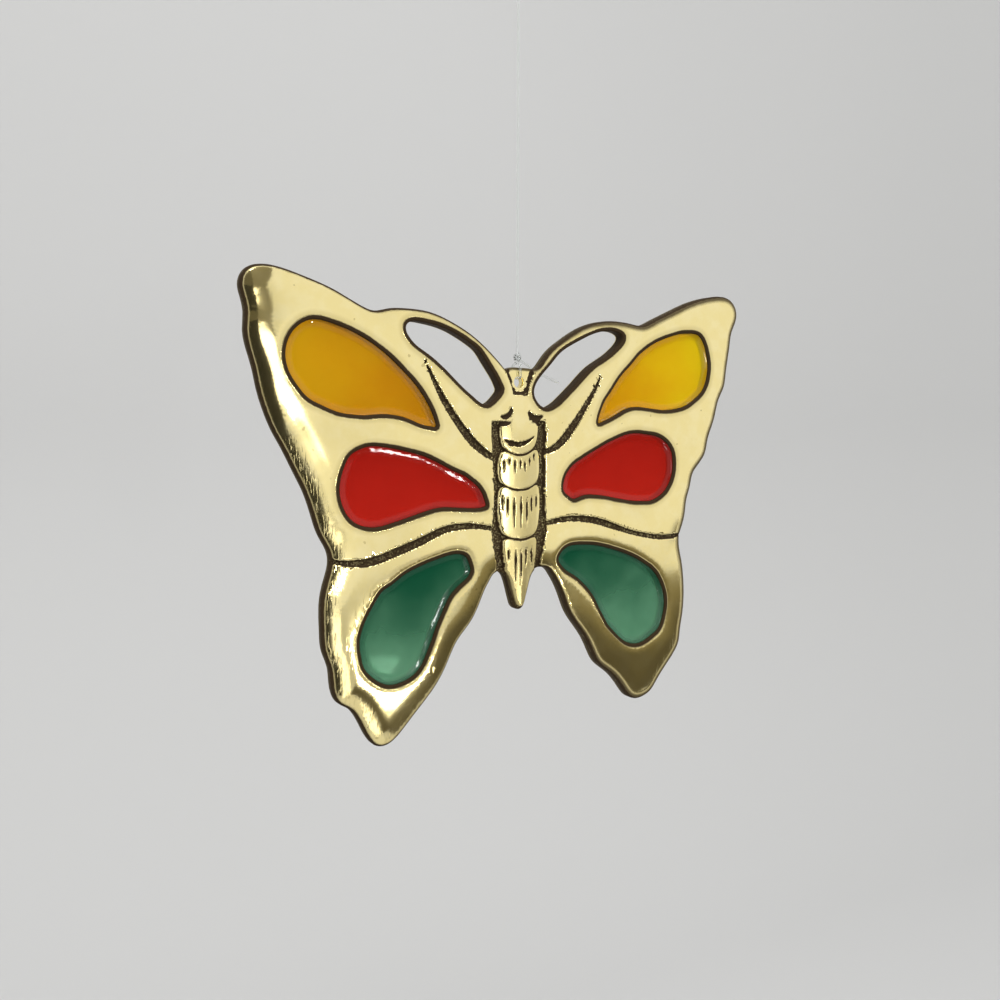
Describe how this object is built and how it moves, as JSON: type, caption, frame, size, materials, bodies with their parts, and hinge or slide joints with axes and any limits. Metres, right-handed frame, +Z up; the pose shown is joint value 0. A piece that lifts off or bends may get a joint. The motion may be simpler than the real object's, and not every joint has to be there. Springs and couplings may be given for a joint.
{
  "type": "butterfly ornament",
  "caption": "Cast brass butterfly sun catcher with coloured resin wing panes, hung by its tab on a clear line with a loop.",
  "frame": {"origin": "top of the hanging loop, inside, where a hook carries it; the line's axis and the middle of the wings' thickness pass through it", "axes": "+Z up along the line, +X to the right seen from the front, the front faces -Y"},
  "size_m": [0.1023, 0.0053, 0.1527],
  "materials": {
    "brass": "polished, with a dark patina left in the recesses",
    "amber_resin": "translucent poured resin",
    "red_resin": "translucent poured resin",
    "green_resin": "translucent poured resin",
    "clear_line": "clear drawn nylon"
  },
  "bodies": {
    "hanging_line": {"hanging_loop": "clear_line", "upper_knot": "clear_line", "hanging_line": "clear_line"},
    "tied_eye": {"lower_knot": "clear_line", "line_eye": "clear_line"},
    "butterfly": {"brass_casting": "brass", "amber_pane_left": "amber_resin", "amber_pane_right": "amber_resin", "red_pane_left": "red_resin", "red_pane_right": "red_resin", "green_pane_left": "green_resin", "green_pane_right": "green_resin"}
  },
  "joints": [
    {"name": "line_twist", "type": "hinge", "parent": "hanging_line", "child": "tied_eye", "pos_m": [0, 0, -0.0836], "axis": [0, 0, 1], "continuous": true},
    {"name": "tab_swing", "type": "hinge", "parent": "tied_eye", "child": "butterfly", "pos_m": [0, 0, -0.08817], "axis": [0, 1, 0], "range_deg": [-25, 25]}
  ]
}
